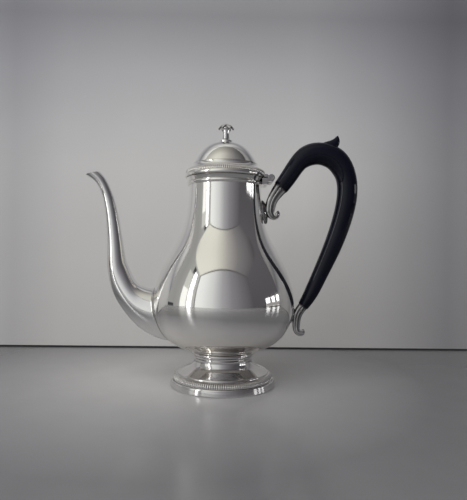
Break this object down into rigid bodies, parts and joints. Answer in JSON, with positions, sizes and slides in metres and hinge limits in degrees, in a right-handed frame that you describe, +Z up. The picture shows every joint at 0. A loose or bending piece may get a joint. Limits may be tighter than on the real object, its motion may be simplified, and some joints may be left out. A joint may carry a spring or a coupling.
{
  "type": "coffee pot",
  "caption": "Pear-shaped silver coffee pot on a reeded foot, with a swan-neck spout, a hinged dome lid with a bud finial and a black loop handle.",
  "frame": {"origin": "on the pot's axis at table level, the middle of the foot's resting face", "axes": "+Z up, +X towards the handle, -X towards the spout; the XZ plane is the plane of symmetry"},
  "size_m": [0.2524, 0.1298, 0.2403],
  "materials": {
    "silver": "polished silver plate with fine wipe marks",
    "handle_black": "polished black"
  },
  "bodies": {
    "pot": {"body_bowl": "silver", "body_neck": "silver", "mouth_collar": "silver", "spout": "silver", "foot_collar": "silver", "foot_pedestal": "silver", "foot_reeded_band": "silver", "foot_base_ring": "silver", "upper_mount_plate": "silver", "upper_socket": "silver", "lower_mount_plate": "silver", "lower_socket": "silver", "handle": "handle_black", "upper_handle_pin": "silver", "lower_handle_pin": "silver", "hinge_bracket": "silver", "hinge_pin": "silver"},
    "lid": {"lid_dome": "silver", "lid_rim": "silver", "lid_reeded_band": "silver", "lid_bezel": "silver", "lid_hinge_leaf": "silver", "finial_collar": "silver", "finial": "silver", "finial_washer": "silver", "finial_nut": "silver"}
  },
  "joints": [
    {"name": "lid_hinge", "type": "hinge", "parent": "pot", "child": "lid", "pos_m": [0.0418, 0, 0.18895], "axis": [0, 1, 0], "range_deg": [0, 74]}
  ]
}
